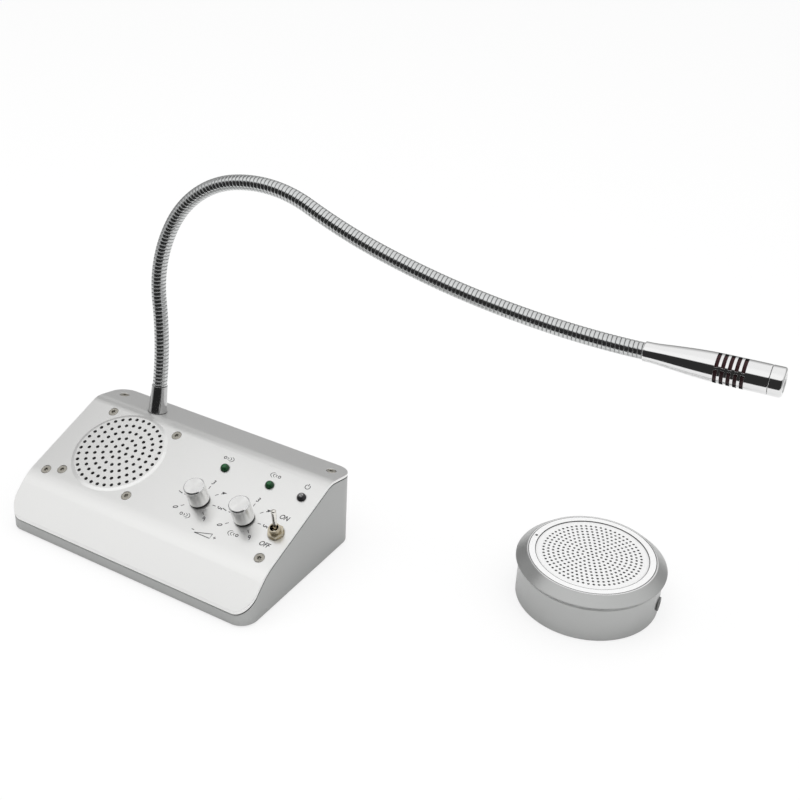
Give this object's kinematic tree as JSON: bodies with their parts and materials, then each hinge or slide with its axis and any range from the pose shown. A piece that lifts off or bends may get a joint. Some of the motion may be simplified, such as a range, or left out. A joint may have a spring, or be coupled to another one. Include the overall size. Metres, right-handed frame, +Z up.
{
  "type": "counter window intercom",
  "caption": "Desk console with loudspeaker, volume knobs and bendable microphone, and a round outside unit for a service window.",
  "frame": {"origin": "on the counter, under the middle of the console's rubber base sheet", "axes": "+X to the console's right and along the neck's reach, +Y to its back, +Z up"},
  "size_m": [0.3738, 0.1655, 0.1914],
  "materials": {
    "silver_paint": "satin metallic paint on moulded plastic",
    "cover_metal": "fine satin, clear coated",
    "steel": "plain bright zinc",
    "chrome": "polished plating",
    "nickel": "nickel plating",
    "knob_metal": "spun face, turned side",
    "green_lens": "tinted lamp, unlit",
    "grey_lens": "smoked lamp, unlit",
    "black_plastic": "moulded",
    "board_laminate": "coated laminate",
    "ferrite": "sintered",
    "zinc_frame": "pressed and plated",
    "paper": "felted paper",
    "foam": "closed foam",
    "rubber_black": "moulded",
    "screen_cloth": "woven acoustic screen",
    "unit_silver": "satin metallic",
    "unit_trim": "fine satin",
    "unit_mesh": "satin paint on punched sheet"
  },
  "bodies": {
    "console": {"base_tray": "silver_paint", "cover_posts": "steel", "rubber_base": "rubber_black", "front_cover": "cover_metal", "cover_screws": "steel", "speaker_gasket": "foam", "speaker_frame": "zinc_frame", "speaker_magnet": "ferrite", "speaker_cone": "paper", "speaker_screws": "steel", "speaker_nuts": "steel", "internal_pot": "steel", "external_pot": "steel", "panel_washers": "nickel", "panel_nuts": "nickel", "switch_case": "nickel", "inner_lamp": "green_lens", "outer_lamp": "green_lens", "power_lamp": "grey_lens", "main_board": "board_laminate", "board_pillars": "nickel", "board_screws": "steel", "amplifier_block": "black_plastic", "board_components": "black_plastic", "power_inlet": "black_plastic", "unit_socket": "black_plastic", "line_socket": "black_plastic", "ferrule": "chrome", "ferrule_washer": "nickel", "ferrule_nut": "nickel"},
    "internal_control": {"internal_knob": "knob_metal", "internal_shaft": "nickel"},
    "external_control": {"external_knob": "knob_metal", "external_shaft": "nickel"},
    "lever": {"switch_lever": "nickel"},
    "neck_1": {"neck_length_1": "chrome"},
    "neck_2": {"neck_length_2": "chrome"},
    "neck_3": {"neck_length_3": "chrome"},
    "neck_4": {"neck_length_4": "chrome"},
    "neck_5": {"neck_length_5": "chrome"},
    "neck_6": {"neck_length_6": "chrome"},
    "neck_7": {"neck_length_7": "chrome"},
    "neck_8": {"neck_length_8": "chrome", "mic_barrel": "chrome", "mic_end_cap": "chrome", "mic_screen": "screen_cloth", "mic_capsule": "knob_metal", "mic_boot": "rubber_black"},
    "outside_unit": {"unit_housing": "unit_silver", "unit_posts": "black_plastic", "unit_ring": "unit_trim", "unit_grille": "unit_mesh", "unit_speaker_frame": "zinc_frame", "unit_speaker_magnet": "ferrite", "unit_speaker_cone": "paper", "unit_mic": "knob_metal", "unit_back_plate": "black_plastic", "unit_screws": "steel", "unit_pad": "foam", "unit_cable_bush": "rubber_black"}
  },
  "joints": [
    {"name": "internal_knob_turn", "type": "hinge", "parent": "console", "child": "internal_control", "pos_m": [0.0223, -0.00976, 0.03471], "axis": [0, 0.3535, -0.9354], "range_deg": [0, 266.4]},
    {"name": "external_knob_turn", "type": "hinge", "parent": "console", "child": "external_control", "pos_m": [0.052, -0.00976, 0.03471], "axis": [0, 0.3535, -0.9354], "range_deg": [0, 266.4]},
    {"name": "switch_throw", "type": "hinge", "parent": "console", "child": "lever", "pos_m": [0.0732, -0.01131, 0.03541], "axis": [1, 0, 0], "range_deg": [0, 27]},
    {"name": "neck_bend_1", "type": "hinge", "parent": "console", "child": "neck_1", "pos_m": [-0.0437, 0.03844, 0.06441], "axis": [0.0698, -0.9768, 0.2023], "range_deg": [-4, 15]},
    {"name": "neck_bend_2", "type": "hinge", "parent": "neck_1", "child": "neck_2", "pos_m": [-0.04901, 0.0477, 0.11095], "axis": [0.9728, 0.1115, 0.2032], "range_deg": [-10, 10]},
    {"name": "neck_bend_3", "type": "hinge", "parent": "neck_2", "child": "neck_3", "pos_m": [-0.04431, 0.05751, 0.15669], "axis": [0.0698, -0.9768, 0.2023], "range_deg": [-4, 15]},
    {"name": "neck_bend_4", "type": "hinge", "parent": "neck_3", "child": "neck_4", "pos_m": [-0.00892, 0.06595, 0.18524], "axis": [0.243, -0.18, -0.9532], "range_deg": [-10, 10]},
    {"name": "neck_bend_5", "type": "hinge", "parent": "neck_4", "child": "neck_5", "pos_m": [0.03796, 0.06855, 0.18164], "axis": [0.0698, -0.9768, 0.2023], "range_deg": [-4, 15]},
    {"name": "neck_bend_6", "type": "hinge", "parent": "neck_5", "child": "neck_6", "pos_m": [0.08343, 0.06873, 0.16684], "axis": [-0.238, -0.2132, -0.9476], "range_deg": [-10, 10]},
    {"name": "neck_bend_7", "type": "hinge", "parent": "neck_6", "child": "neck_7", "pos_m": [0.13025, 0.07007, 0.15716], "axis": [0.0698, -0.9768, 0.2023], "range_deg": [-4, 15]},
    {"name": "neck_bend_8", "type": "hinge", "parent": "neck_7", "child": "neck_8", "pos_m": [0.17771, 0.0723, 0.15155], "axis": [-0.0644, -0.2068, -0.9763], "range_deg": [-10, 10]},
    {"name": "unit_lift", "type": "slide", "parent": "console", "child": "outside_unit", "axis": [0, 0, 1], "range_m": [0, 0.02]}
  ]
}
